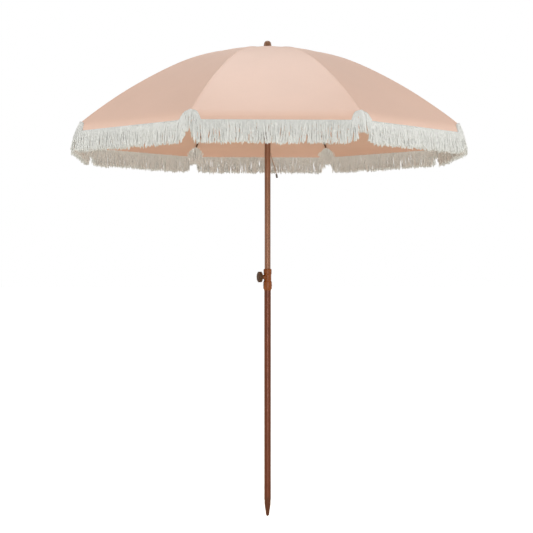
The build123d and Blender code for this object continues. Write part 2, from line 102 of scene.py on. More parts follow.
def colour(name, description, *default):
    """A colour that a user can set."""
    return bpy.props.FloatVectorProperty(
        name=name, description=description, default=tone(*default), min=0, max=1, subtype="COLOR"
    )


class CanopySizes(bpy.types.PropertyGroup):
    """The curve of the cloth along a rib, and the cloth itself."""

    start_radius: length("Start radius", "Where the cloth starts, from the pole's axis", 0.020)
    flat_radius: length("Flat radius", "Where the level top ends", 0.060)
    shoulder_radius: length("Shoulder radius", "Radius of the upper arc of a rib", 0.800)
    shoulder_turn: angle("Shoulder turn", "How far the upper arc turns down", 25.5)
    skirt_radius: length("Skirt radius", "Radius of the lower arc of a rib", 2.000)
    skirt_turn: angle("Skirt turn", "How far the lower arc turns down", 13.8)
    hem_slope: angle("Hem slope", "Slope of the cloth at the hem's edge", 80)
    hem_bend: length("Hem bend", "Length over which the cloth turns down at the rib tips", 0.085)
    hem_length: length("Hem length", "Cloth that hangs past the line of the rib tips", 0.057)
    thickness: length("Thickness", "Thickness of the cloth", 0.0008)
    seam_width: length("Seam width", "Width of the folded seam over a rib", 0.010)
    seam_rise: length("Seam rise", "How proud a seam stands", 0.0011)
    sag: length("Sag", "How far a panel's middle pulls in between its ribs", 0.004)
    crumple: length("Crumple", "Height of the soft waves in the cloth", 0.0012)


class FringeSizes(bpy.types.PropertyGroup):
    """The header tape and the twisted cotton strands."""

    tape_width: length("Tape width", "Width of the header tape", 0.012)
    tape_thickness: length("Tape thickness", "Thickness of the header tape", 0.0014)
    notch_half: length("Notch half width", "Half the width of the arch in the hem at a rib", 0.037)
    notch_rise: length("Notch rise", "How far the arch rises over the rest of the hem", 0.046)
    strand_length: length("Strand length", "Length of a strand", 0.084)
    strand_pitch: length("Strand pitch", "Distance between strands along the tape", 0.0050)
    strand_width: length("Strand width", "Thickness of a strand at its widest", 0.0054)
    curl: length("Curl", "How far a strand waves off its line", 0.0024)
    root_height: length("Root height", "How far above the hem's edge strands start", 0.009)


class Finishes(bpy.types.PropertyGroup):
    """The colours of the cloth, cotton, coats and mouldings."""

    cloth: colour("Cloth", "Canopy cloth", 229, 190, 168)
    cotton: colour("Cotton", "Fringe and header tape", 235, 236, 233)
    thread: colour("Thread", "Stitching", 224, 196, 178)
    upper_coat: colour("Upper coat", "Coat on the upper pole", 150, 105, 80)
    lower_coat: colour("Lower coat", "Coat on the lower pole", 112, 54, 25)
    spike: colour("Spike", "Moulded ground spike", 102, 52, 22)
    collar: colour("Collar", "Moulded collar", 142, 77, 30)
    dark_moulding: colour("Dark moulding", "Knob, crown, runner and rib fittings", 88, 56, 28)
    finial: colour("Finial", "Moulded finial", 138, 95, 62)
    rib_coat: colour("Rib coat", "Coat on ribs and stretchers", 104, 70, 48)
    strap: colour("Strap", "Tie strap", 196, 170, 152)
    strap_tip: colour("Strap tip", "End of the tie strap", 112, 106, 102)


def sizes():
    """The canopy's settings."""
    return bpy.context.scene.umbrella_canopy


def fringe_sizes():
    """The fringe's settings."""
    return bpy.context.scene.umbrella_fringe


def finishes():
    """The colour settings."""
    return bpy.context.scene.umbrella_finishes


# ------------------------------------------------------------------ shape of the cloth


def heading_out(turn):
    """The level direction at an angle round the pole."""
    return Vector((math.cos(turn), math.sin(turn), 0))


def smooth(share):
    """An S-curve from 0 to 1."""
    share = min(max(share, 0.0), 1.0)
    return share * share * (3 - 2 * share)


def tip_distance():
    """Length of the cloth along a rib, from its start to the rib tip."""
    size = sizes()
    flat = size.flat_radius - size.start_radius
    shoulder = size.shoulder_radius * size.shoulder_turn
    return flat + shoulder + size.skirt_radius * size.skirt_turn


HEM_BEND_START = 0.15


def slope_at(along):
    """How steeply the cloth falls, at a distance along the rib."""
    size = sizes()
    flat = size.flat_radius - size.start_radius
    shoulder = size.shoulder_radius * size.shoulder_turn
    on_shoulder = min(max(along - flat, 0), shoulder) / size.shoulder_radius
    on_skirt = max(along - flat - shoulder, 0) / size.skirt_radius
    slope = on_shoulder + min(on_skirt, size.skirt_turn)
    past_tip = (along - tip_distance()) / size.hem_bend + HEM_BEND_START
    return slope + (size.hem_slope - slope) * smooth(past_tip)


PROFILE_STEP = 0.001
MERGE_DISTANCE = 1e-6


@lru_cache(maxsize=1)
def profile():
    """The radius and height of the cloth along a rib, at every profile step."""
    at = Vector((sizes().start_radius, CANOPY_TOP))
    places = [at]
    for step in range(int((tip_distance() + 2 * sizes().hem_length) / PROFILE_STEP)):
        slope = slope_at((step + 0.5) * PROFILE_STEP)
        at = at + Vector((math.cos(slope), -math.sin(slope))) * PROFILE_STEP
        places.append(at)
    return places


def profile_at(along):
    """The radius and height of the cloth at a distance along the rib."""
    place = min(max(along / PROFILE_STEP, 0), len(profile()) - 1.001)
    low = int(place)
    return profile()[low].lerp(profile()[low + 1], place - low)


NOTCH_SHOULDER = 2.4
NOTCH_CROWN = 0.85


class Strip:
    """The cloth that one rib carries, from the middle of one panel to the middle of the next."""

    def __init__(self, number):
        self.number = number
        self.turn = FIRST_RIB + (number - 1) * RIB_PITCH
        self.out = heading_out(self.turn)
        self.across = Vector((-self.out.y, self.out.x, 0))

    def panel_out(self, side):
        """The outward direction of the panel on one side, 1 or -1."""
        return heading_out(self.turn + side * HALF_PITCH)

    def hem_direction(self, side):
        """The level direction along a panel, away from the rib."""
        out = self.panel_out(side)
        return Vector((-out.y, out.x, 0)) * side

    def normal(self, share, along):
        """The way the cloth faces, where share runs from -1 to 1 across the strip."""
        out = self.out if share == 0 else self.panel_out(1 if share > 0 else -1)
        slope = slope_at(along)
        return out * math.sin(slope) + UP * math.cos(slope)

    def flat_place(self, share, along):
        """A point of the taut cloth, before seams and waves."""
        radius, height = profile_at(along)
        middle = self.panel_out(1 if share >= 0 else -1) * radius * math.cos(HALF_PITCH)
        return (self.out * radius).lerp(middle, abs(share)) + UP * height

    def from_rib(self, share, along):
        """Distance from the rib, along the panel."""
        return abs(share) * profile_at(along)[0] * math.sin(HALF_PITCH)

    def place(self, share, along):
        """A point of the cloth's outer face, with its seam, sag and soft waves."""
        size = sizes()
        taut = self.flat_place(share, along)
        from_rib = self.from_rib(share, along)
        to_tip = tip_distance() - along
        seam = 1 - smooth((from_rib - 0.38 * size.seam_width) / (0.12 * size.seam_width))
        reach = smooth((along - 0.22) / 0.25) * smooth(to_tip / 0.20)
        crowned = smooth(along / 0.08) * (1 - smooth((along - 0.12) / 0.25))
        sag = size.sag * math.sin(abs(share) * math.pi / 2) ** 2 * (reach - 0.9 * crowned)
        radial = noise.noise(Vector((taut.x, taut.y, 0)).normalized() * 9 + UP * along * 2.5)
        broad = noise.noise(taut * 7)
        away = math.exp(-((from_rib / 0.10) ** 2)) * math.exp(-((to_tip / 0.13) ** 2))
        fan = math.sin(math.atan2(max(to_tip, 0) + 0.03, from_rib + 0.01) * 17)
        waves = size.crumple * (0.45 * radial + 0.35 * broad) * smooth(along / 0.2)
        waves += size.crumple * 0.7 * away * fan * smooth(from_rib / 0.02)
        lift = size.seam_rise * seam - sag + waves
        return taut + self.normal(share, along) * lift

    def edge_distance(self, from_rib):
        """How far past the rib tips the hem's edge lies: the hem arches up over each rib."""
        fringe = fringe_sizes()
        off = min(from_rib / fringe.notch_half, 1.0)
        arch = (1 - off**NOTCH_SHOULDER) ** NOTCH_CROWN
        return sizes().hem_length - fringe.notch_rise * arch

    def edge_place(self, share):
        """A point on the hem's edge."""
        from_rib = self.from_rib(share, tip_distance())
        return self.place(share, tip_distance() + self.edge_distance(from_rib))

    def edge_frame(self, share, side):
        """A point on the hem's edge, the way along it, the way off it and the way it faces."""
        step = 0.004
        near = min(max(abs(share), 0.0), 1.0 - step)
        start = self.edge_place(side * near)
        tangent = (self.edge_place(side * (near + step)) - start).normalized()
        from_rib = self.from_rib(near, tip_distance())
        facing = self.normal(side * max(near, 0.001), tip_distance() + self.edge_distance(from_rib))
        off = tangent.cross(facing) * side
        return self.edge_place(side * min(abs(share), 1.0)), tangent, off.normalized(), facing


def strips():
    """Every strip of the canopy."""
    return [Strip(number + 1) for number in range(RIB_COUNT)]


# ------------------------------------------------------------------ mesh helpers


def finished(name, bm, material, sharp=40):
    """An object from a bmesh, smooth but for its sharp edges, with its material."""
    mesh = bpy.data.meshes.new(name)
    bm.to_mesh(mesh)
    bm.free()
    mesh.shade_smooth()
    mesh.set_sharp_from_angle(angle=math.radians(sharp))
    mesh.materials.append(material)
    piece = bpy.data.objects.new(name, mesh)
    bpy.context.scene.collection.objects.link(piece)
    return piece


def cloth_shell(columns, rows, place, measure, thickness):
    """A sheet: a grid whose points place() puts in space, made thick towards its inside.

    place and measure take the point's two shares, from 0 to 1. measure gives its UV in metres.
    """
    bm = bmesh.new()
    bmesh.ops.create_grid(bm, x_segments=columns, y_segments=rows, size=0.5)
    uv = bm.loops.layers.uv.new("UVMap")
    for face in bm.faces:
        for loop in face.loops:
            loop[uv].uv = measure(loop.vert.co.x + 0.5, loop.vert.co.y + 0.5)
    for vert in bm.verts:
        vert.co = place(vert.co.x + 0.5, vert.co.y + 0.5)
    bmesh.ops.recalc_face_normals(bm, faces=bm.faces)
    middle = sorted(bm.faces, key=lambda face: face.calc_center_median().z)[len(bm.faces) // 2]
    outwards = Vector((middle.calc_center_median().x, middle.calc_center_median().y, 1.0))
    if middle.normal.dot(outwards) < 0:
        bmesh.ops.reverse_faces(bm, faces=bm.faces)
    bmesh.ops.solidify(bm, geom=bm.faces[:], thickness=thickness)
    bmesh.ops.recalc_face_normals(bm, faces=bm.faces)
    return bm


def turned(outline, steps=64):
    """A closed turned piece from a half outline of (radius, height) points."""
    bm = bmesh.new()
    verts = [bm.verts.new((radius, 0, height)) for radius, height in outline]
    edges = [bm.edges.new(pair) for pair in zip(verts, verts[1:])]
    bmesh.ops.spin(
        bm,
        geom=verts + edges,
        cent=(0, 0, 0),
        axis=(0, 0, 1),
        angle=2 * math.pi,
        steps=steps,
        use_merge=True,
    )
    bmesh.ops.remove_doubles(bm, verts=bm.verts, dist=MERGE_DISTANCE)
    bmesh.ops.recalc_face_normals(bm, faces=bm.faces)
    return bm


def add_stitch(bm, at, forward, facing, long, wide):
    """One stitch of thread lying on the cloth."""
    side = facing.cross(forward).normalized()
    basis = Matrix((forward.normalized(), side, facing)).transposed().to_4x4()
    shape = Matrix.Diagonal((long / 2, wide / 2, wide * 0.4, 1))
    bmesh.ops.create_icosphere(
        bm, subdivisions=1, radius=1, matrix=Matrix.Translation(at) @ basis @ shape
    )


# ------------------------------------------------------------------ shader helpers


def new_group(name, inputs, outputs):
    """An empty shader node group with named sockets, and its two end nodes."""
    group = bpy.data.node_groups.new(name, "ShaderNodeTree")
    for label, kind, default in inputs:
        socket = group.interface.new_socket(label, in_out="INPUT", socket_type=kind)
        if default is not None:
            socket.default_value = default
    for label, kind in outputs:
        group.interface.new_socket(label, in_out="OUTPUT", socket_type=kind)
    return group, group.nodes.new("NodeGroupInput"), group.nodes.new("NodeGroupOutput")


def math_node(tree, operation, first, second=None):
    """A maths node's result. Each value is a socket or a number."""
    node = tree.nodes.new("ShaderNodeMath")
    node.operation = operation
    for place, value in enumerate((first, second)):
        if value is None:
            continue
        if isinstance(value, (int, float)):
            node.inputs[place].default_value = value
        else:
            tree.links.new(value, node.inputs[place])
    return node.outputs[0]


FLOAT = "NodeSocketFloat"
VECTOR = "NodeSocketVector"

# The Mix node's colour sockets, which share their names with its other kinds
MIX_COLOUR_A = 6
MIX_COLOUR_B = 7
MIX_COLOUR_RESULT = 2


@lru_cache(maxsize=1)
def weave_group():
    """Plain weave: over and under threads, with slubs that thicken some of them."""
    group, start, end = new_group(
        "Plain Weave",
        [("Vector", VECTOR, None), ("Thread Pitch", FLOAT, 0.0008), ("Slub", FLOAT, 0.4)],
        [("Height", FLOAT), ("Shade", FLOAT)],
    )
    split = group.nodes.new("ShaderNodeSeparateXYZ")
    group.links.new(start.outputs["Vector"], split.inputs[0])
    waves = []
    for axis in ("X", "Y"):
        counted = math_node(group, "DIVIDE", split.outputs[axis], start.outputs["Thread Pitch"])
        waves.append(math_node(group, "SINE", math_node(group, "MULTIPLY", counted, math.pi)))
    crossing = math_node(group, "MULTIPLY", waves[0], waves[1])
    slub = group.nodes.new("ShaderNodeTexNoise")
    slub.inputs["Scale"].default_value = 90
    slub.inputs["Detail"].default_value = 3
    stretch = group.nodes.new("ShaderNodeMapping")
    stretch.inputs["Scale"].default_value = (0.25, 3, 1)
    group.links.new(start.outputs["Vector"], stretch.inputs["Vector"])
    group.links.new(stretch.outputs[0], slub.inputs["Vector"])
    lumps = math_node(group, "MULTIPLY", slub.outputs["Fac"], start.outputs["Slub"])
    height = math_node(group, "ADD", math_node(group, "MULTIPLY", crossing, 0.5), lumps)
    group.links.new(height, end.inputs["Height"])
    group.links.new(math_node(group, "ADD", lumps, 0.3), end.inputs["Shade"])
    return group


@lru_cache(maxsize=1)
def mottle_group():
    """Uneven tone: two sizes of cloudy noise between a low and a high value."""
    group, start, end = new_group(
        "Mottle",
        [
            ("Vector", VECTOR, None),
            ("Scale", FLOAT, 5.0),
            ("Low", FLOAT, 0.0),
            ("High", FLOAT, 1.0),
        ],
        [("Value", FLOAT)],
    )
    cloud = group.nodes.new("ShaderNodeTexNoise")
    cloud.inputs["Detail"].default_value = 5
    cloud.inputs["Roughness"].default_value = 0.55
    group.links.new(start.outputs["Vector"], cloud.inputs["Vector"])
    group.links.new(start.outputs["Scale"], cloud.inputs["Scale"])
    fit = group.nodes.new("ShaderNodeMapRange")
    fit.inputs["From Min"].default_value = 0.3
    fit.inputs["From Max"].default_value = 0.7
    group.links.new(cloud.outputs["Fac"], fit.inputs["Value"])
    group.links.new(start.outputs["Low"], fit.inputs["To Min"])
    group.links.new(start.outputs["High"], fit.inputs["To Max"])
    group.links.new(fit.outputs["Result"], end.inputs["Value"])
    return group


@lru_cache(maxsize=1)
def grain_group():
    """Drawn grain: long fine streaks along Z, as on coated tube."""
    group, start, end = new_group(
        "Drawn Grain",
        [("Vector", VECTOR, None), ("Fineness", FLOAT, 400.0), ("Length", FLOAT, 0.03)],
        [("Value", FLOAT)],
    )
    stretch = group.nodes.new("ShaderNodeCombineXYZ")
    stretch.inputs["X"].default_value = 1
    stretch.inputs["Y"].default_value = 1
    group.links.new(start.outputs["Length"], stretch.inputs["Z"])
    scaled = group.nodes.new("ShaderNodeVectorMath")
    scaled.operation = "MULTIPLY"
    group.links.new(start.outputs["Vector"], scaled.inputs[0])
    group.links.new(stretch.outputs[0], scaled.inputs[1])
    streaks = group.nodes.new("ShaderNodeTexNoise")
    streaks.inputs["Detail"].default_value = 4
    group.links.new(scaled.outputs[0], streaks.inputs["Vector"])
    group.links.new(start.outputs["Fineness"], streaks.inputs["Scale"])
    group.links.new(streaks.outputs["Fac"], end.inputs["Value"])
    return group


class Finish:
    """A material in the making: its tree, its shader and the coordinates that it reads."""

    def __init__(self, name, roughness, **settings):
        self.material = bpy.data.materials.new(name)
        self.material.use_nodes = True
        self.tree = self.material.node_tree
        self.shader = self.tree.nodes["Principled BSDF"]
        self.shader.inputs["Roughness"].default_value = roughness
        for label, value in settings.items():
            self.shader.inputs[label.replace("_", " ")].default_value = value
        self.coordinates = self.tree.nodes.new("ShaderNodeTexCoord")

    def group(self, tree, source, **values):
        """Place a node group that reads Object or UV coordinates, with its own values."""
        node = self.tree.nodes.new("ShaderNodeGroup")
        node.node_tree = tree
        self.tree.links.new(self.coordinates.outputs[source], node.inputs["Vector"])
        for label, value in values.items():
            node.inputs[label.replace("_", " ")].default_value = value
        return node

    def colours(self, factor, dark, light):
        """Base colour between two colours, by a mask."""
        mix = self.tree.nodes.new("ShaderNodeMix")
        mix.data_type = "RGBA"
        mix.inputs[MIX_COLOUR_A].default_value = (*dark, 1)
        mix.inputs[MIX_COLOUR_B].default_value = (*light, 1)
        self.tree.links.new(factor, mix.inputs["Factor"])
        self.tree.links.new(mix.outputs[MIX_COLOUR_RESULT], self.shader.inputs["Base Color"])

    def bump(self, height, distance, strength=1.0):
        """Relief from a height."""
        node = self.tree.nodes.new("ShaderNodeBump")
        node.inputs["Strength"].default_value = strength
        node.inputs["Distance"].default_value = distance
        self.tree.links.new(height, node.inputs["Height"])
        self.tree.links.new(node.outputs["Normal"], self.shader.inputs["Normal"])


def shaded(colour_value, share):
    """A colour made darker or lighter by a share."""
    return tuple(min(channel * share, 1) for channel in colour_value[:3])


@lru_cache(maxsize=1)
def cloth_material():
    """Blush plain-woven cloth, slightly uneven in tone."""
    base = finishes().cloth
    finish = Finish("canopy_cloth", 0.5, Specular_IOR_Level=0.5, Sheen_Weight=0.08)
    weave = finish.group(weave_group(), "UV", Thread_Pitch=0.0011, Slub=0.45)
    tone_map = finish.group(mottle_group(), "Object", Scale=3.5, Low=-0.15, High=0.35)
    mask = math_node(finish.tree, "ADD", weave.outputs["Shade"], tone_map.outputs["Value"])
    finish.colours(mask, shaded(base, 0.94), shaded(base, 1.04))
    finish.bump(weave.outputs["Height"], 0.00012, 0.6)
    return finish.material


def cotton_material(name, base, pitch, relief):
    """Soft white cotton, with its twist or its weave as relief."""
    finish = Finish(name, 0.9, Sheen_Weight=0.35, Sheen_Roughness=0.5)
    weave = finish.group(weave_group(), "UV", Thread_Pitch=pitch, Slub=0.7)
    tone_map = finish.group(mottle_group(), "Object", Scale=38, Low=0.0, High=0.75)
    mask = math_node(finish.tree, "ADD", weave.outputs["Shade"], tone_map.outputs["Value"])
    finish.colours(mask, shaded(base, 0.80), shaded(base, 1.02))
    finish.bump(weave.outputs["Height"], relief, 0.8)
    return finish.material


def coat_material(name, base, roughness, metallic):
    """A thin coloured coat over drawn metal: fine streaks, uneven gloss, a little rubbed."""
    finish = Finish(name, roughness, Metallic=metallic, Coat_Weight=0.1, Coat_Roughness=0.25)
    grain = finish.group(grain_group(), "Object", Fineness=260, Length=0.03)
    rub = finish.group(mottle_group(), "Object", Scale=22, Low=-0.2, High=0.35)
    mask = math_node(finish.tree, "ADD", grain.outputs["Value"], rub.outputs["Value"])
    finish.colours(mask, shaded(base, 0.80), shaded(base, 1.18))
    gloss = finish.group(
        mottle_group(), "Object", Scale=60, Low=roughness - 0.06, High=roughness + 0.1
    )
    finish.tree.links.new(gloss.outputs["Value"], finish.shader.inputs["Roughness"])
    finish.bump(grain.outputs["Value"], 0.00008, 0.5)
    return finish.material


def moulding_material(name, base, roughness):
    """Moulded plastic: faint flow marks and a fine spark-eroded texture."""
    finish = Finish(name, roughness, Specular_IOR_Level=0.4)
    flow = finish.group(mottle_group(), "Object", Scale=30, Low=0.0, High=1.0)
    finish.colours(flow.outputs["Value"], shaded(base, 0.93), shaded(base, 1.07))
    texture = finish.group(mottle_group(), "Object", Scale=1800, Low=0.0, High=1.0)
    finish.bump(texture.outputs["Value"], 0.00006, 0.6)
    return finish.material


def metal_material(name, base, roughness):
    """Bare plated metal with fine wear."""
    finish = Finish(name, roughness, Metallic=1.0)
    wear = finish.group(mottle_group(), "Object", Scale=240, Low=0.0, High=1.0)
    finish.colours(wear.outputs["Value"], shaded(base, 0.8), shaded(base, 1.1))
    finish.bump(wear.outputs["Value"], 0.00003, 0.4)
    return finish.material


# ------------------------------------------------------------------ cloth pieces


def strip_area():
    """The flat area of one strip of cloth, down to the rib tips."""
    steps = int(tip_distance() / PROFILE_STEP)
    radii = (profile_at(step * PROFILE_STEP)[0] for step in range(steps))
    return sum(2 * radius * math.sin(HALF_PITCH) for radius in radii) * PROFILE_STEP


# How closely the grid's columns crowd towards the rib
STRIP_BUNCH = 1.6
HEM_BUNCH = 1.7


def make_canopy_strip(strip):
    """The cloth over one rib."""

    def share_of(u):
        centred = 2 * u - 1
        return math.copysign(abs(centred) ** STRIP_BUNCH, centred)

    def place(u, v):
        return strip.place(share_of(u), v * tip_distance())

    def measure(u, v):
        along = v * tip_distance()
        reach = profile_at(along)[0] * math.sin(HALF_PITCH)
        return share_of(u) * reach, along

    bm = cloth_shell(48, 72, place, measure, sizes().thickness)
    return finished(f"canopy_cloth_{strip.number}", bm, cloth_material())


def make_hem(strip, side):
    """The cloth that hangs past the rib tips on one side of a rib, arched up at the rib."""

    def share_of(u):
        return side * u**HEM_BUNCH

    def place(u, v):
        share = share_of(u)
        edge = strip.edge_distance(strip.from_rib(share, tip_distance()))
        return strip.place(share, tip_distance() + v * edge)

    def measure(u, v):
        return strip.from_rib(share_of(u), tip_distance()), tip_distance() + v * sizes().hem_length

    bm = cloth_shell(44, 10, place, measure, sizes().thickness)
    return finished(f"hem_{strip.number}_{'left' if side > 0 else 'right'}", bm, cloth_material())


def make_tape(strip, side):
    """The woven header tape along the hem's edge on one side of a rib."""
    fringe = fringe_sizes()

    def place(u, v):
        at, _, off, facing = strip.edge_frame(u**HEM_BUNCH, side)
        return at + off * fringe.tape_width * (0.12 - v) + facing * fringe.tape_thickness

    def measure(u, v):
        return strip.from_rib(u**HEM_BUNCH, tip_distance()), v * fringe.tape_width

    bm = cloth_shell(60, 3, place, measure, fringe.tape_thickness)
    name = f"header_tape_{strip.number}_{'left' if side > 0 else 'right'}"
    return finished(name, bm, tape_material())


@lru_cache(maxsize=1)
def tape_material():
    """White woven tape."""
    return cotton_material("header_tape", finishes().cotton, 0.0016, 0.0004)


@lru_cache(maxsize=1)
def strand_material():
    """White two-ply cotton."""
    return cotton_material("fringe_cotton", finishes().cotton, 0.0020, 0.0005)


@lru_cache(maxsize=1)
def thread_material():
    """Blush sewing thread."""
    return cotton_material("sewing_thread", finishes().thread, 0.0005, 0.0002)


# ------------------------------------------------------------------ fringe strands

STRAND_RINGS = 14
STRAND_SIDES = 6
STRAND_ROWS = 3


def strand_template(turns):
    """A two-ply strand one unit long, hanging from the origin and one unit wide."""
    bm = bmesh.new()
    bmesh.ops.create_circle(bm, cap_ends=True, radius=0.5, segments=STRAND_SIDES)
    bmesh.ops.scale(bm, vec=(1.0, 0.62, 1.0), verts=bm.verts)
    ring = bm.edges[:]
    for step in range(STRAND_RINGS):
        grown = bmesh.ops.extrude_edge_only(bm, edges=ring)["geom"]
        verts = [item for item in grown if isinstance(item, bmesh.types.BMVert)]
        ring = [item for item in grown if isinstance(item, bmesh.types.BMEdge)]
        done = (step + 1) / STRAND_RINGS
        bmesh.ops.translate(bm, vec=(0, 0, -1 / STRAND_RINGS), verts=verts)
        bmesh.ops.rotate(
            bm,
            cent=(0, 0, 0),
            matrix=Matrix.Rotation(2 * math.pi * turns / STRAND_RINGS, 3, "Z"),
            verts=verts,
        )
        widen = 1.10 if done > 0.75 else 1.0
        if step == STRAND_RINGS - 1:
            widen = 0.35
        bmesh.ops.scale(bm, vec=(widen, widen, 1), verts=verts)
    bmesh.ops.holes_fill(bm, edges=ring, sides=STRAND_SIDES)
    bmesh.ops.recalc_face_normals(bm, faces=bm.faces)
    uv = bm.loops.layers.uv.new("UVMap")
    for face in bm.faces:
        for loop in face.loops:
            loop[uv].uv = (loop.vert.co.x * 0.005, loop.vert.co.z * 0.077)
    mesh = bpy.data.meshes.new("strand_template")
    bm.to_mesh(mesh)
    bm.free()
    return mesh


def edge_walk(strip, side, pitch):
    """Places along the hem's edge on one side of a rib, a pitch apart, as shares of the panel."""
    fine = 700
    shares = []
    walked = pitch / 2
    before = strip.edge_place(0.0001 * side)
    for step in range(1, fine + 1):
        share = (step / fine) ** 1.5
        at = strip.edge_place(side * share)
        walked += (at - before).length
        before = at
        if walked >= pitch:
            shares.append(share)
            walked -= pitch
    return shares


def add_strand(bm, template, root, start, end, along, facing, long, wide):
    """Hang one strand: it leaves in the start direction and ends in the end direction."""
    count = len(bm.verts)
    bm.from_mesh(template)
    bm.verts.ensure_lookup_table()
    spin = random.uniform(0, math.pi)
    curl = fringe_sizes().curl
    sway = [random.gauss(0, curl), random.gauss(0, curl * 0.8)]
    phase = [random.uniform(0, 2 * math.pi) for _ in sway]
    count_waves = random.uniform(4.5, 9)
    for index in range(count, len(bm.verts)):
        vert = bm.verts[index]
        down = -vert.co.z
        bend = start * (down - down * down / 2) + end * (down * down / 2)
        wave = [
            size * down * (math.sin(down * count_waves + turn) - math.sin(turn))
            for size, turn in zip(sway, phase)
        ]
        x = (vert.co.x * math.cos(spin) - vert.co.y * math.sin(spin)) * wide + wave[0]
        y = (vert.co.x * math.sin(spin) + vert.co.y * math.cos(spin)) * wide + wave[1]
        vert.co = root + bend * long + along * x + facing * y


def make_strands(strip, side, templates):
    """The strands that hang from one side's tape, in rows that overlap."""
    fringe = fringe_sizes()
    bm = bmesh.new()
    for row in range(STRAND_ROWS):
        shares = [0.001, *edge_walk(strip, side, fringe.strand_pitch)]
        for share in shares:
            share = min(share + (row / STRAND_ROWS + random.uniform(-0.2, 0.2)) * 0.012, 0.999)
            share = max(share, 0.0005)
            at, _, off, facing = strip.edge_frame(share, side)
            from_rib = strip.from_rib(share, tip_distance())
            turned_away = smooth(from_rib / 0.045)
            level_out = strip.out.lerp(strip.panel_out(side), turned_away).normalized()
            hem = (strip.across * side).lerp(strip.hem_direction(side), turned_away).normalized()
            corner = math.exp(-((from_rib / 0.045) ** 2))
            clump = noise.noise(at * 42) * 0.34 + noise.noise(at * 12 + UP * row) * 0.15
            fan = 0.14 * corner * smooth(from_rib / 0.04) - 0.05 * (1 - smooth(from_rib / 0.02))
            lean = hem * (fan + clump + random.gauss(0, 0.07))
            push = level_out * (0.03 + 0.13 * corner + random.gauss(0, 0.06) - 0.05 * row)
            start = (off * 0.45 - UP * 0.8 + level_out * (0.22 - 0.08 * row)).normalized()
            end = (-UP + lean + push).normalized()
            lift = 0.0044 - 0.0013 * row
            root = at - off * fringe.root_height * random.uniform(0.7, 1.0) + facing * lift
            long = fringe.strand_length * (1 + 0.05 * noise.noise(at * 25) + random.gauss(0, 0.035))
            wide = fringe.strand_width * random.uniform(0.65, 1.15)
            template = templates[random.randrange(len(templates))]
            add_strand(bm, template, root, start, end, hem, level_out, long, wide)
    name = f"fringe_strands_{strip.number}_{'left' if side > 0 else 'right'}"
    return finished(name, bm, strand_material(), sharp=80)


# ------------------------------------------------------------------ stitching


STITCH_SPACING = 0.0062
STITCH_LENGTH = 0.0046
STITCH_WIDTH = 0.0009
SEAM_ROW_OFFSET = 0.0034
HEM_ROW_OFFSET = 0.021


def make_seam_stitches(strip):
    """Two rows of stitches down the folded seam over a rib."""
    bm = bmesh.new()
    for step in range(6, int(tip_distance() / STITCH_SPACING) - 1):
        along = step * STITCH_SPACING
        reach = profile_at(along)[0] * math.sin(HALF_PITCH)
        for side in (1, -1):
            share = side * SEAM_ROW_OFFSET / reach
            at = strip.place(share, along)
            forward = strip.place(share, along + 0.002) - at
            facing = strip.normal(share, along)
            add_stitch(bm, at + facing * 0.0002, forward, facing, STITCH_LENGTH, STITCH_WIDTH)
    return finished(f"seam_stitches_{strip.number}", bm, thread_material())


def make_hem_stitches(strip, side):
    """The row of stitches that holds the turned hem, above the tape."""
    fringe = fringe_sizes()
    bm = bmesh.new()
    for share in edge_walk(strip, side, STITCH_SPACING):
        at, tangent, off, facing = strip.edge_frame(share, side)
        from_rib = strip.from_rib(share, tip_distance())
        if from_rib < 1.35 * fringe.notch_half:
            continue
        place = at - off * HEM_ROW_OFFSET + facing * 0.0003
        add_stitch(bm, place, tangent, facing, STITCH_LENGTH, STITCH_WIDTH)
    name = f"hem_stitches_{strip.number}_{'left' if side > 0 else 'right'}"
    return finished(name, bm, thread_material())


# ------------------------------------------------------------------ crown patch and strap


def make_top_patch():
    """The round cloth patch under the finial, dished, with a rolled rim."""
    low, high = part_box("top_cap")
    radius = (high[0] - low[0]) / 2
    base, top = low[2], high[2]
    outline = [
        (0.0045, base),
        (radius * 0.6, base),
        (radius - 0.0012, base - 0.0002),
        (radius, base + 0.0006),
        (radius - 0.0010, top + 0.0004),
        (radius * 0.82, top + 0.0002),
        (radius * 0.6, top),
        (0.0045, top),
        (0.0045, base),
    ]
    bm = turned(outline)
    uv = bm.loops.layers.uv.new("UVMap")
    for face in bm.faces:
        for loop in face.loops:
            loop[uv].uv = (loop.vert.co.x, loop.vert.co.y)
    return finished("top_patch", bm, cloth_material())


STRAP_ROUTE = [
    (0.0460, 0.7460, 1.5920),
    (0.0485, 0.7405, 1.5740),
    (0.0535, 0.7390, 1.5530),
    (0.0615, 0.7395, 1.5320),
    (0.0690, 0.7395, 1.5120),
    (0.0725, 0.7400, 1.4900),
]
STRAP_DIAMETER = 0.004


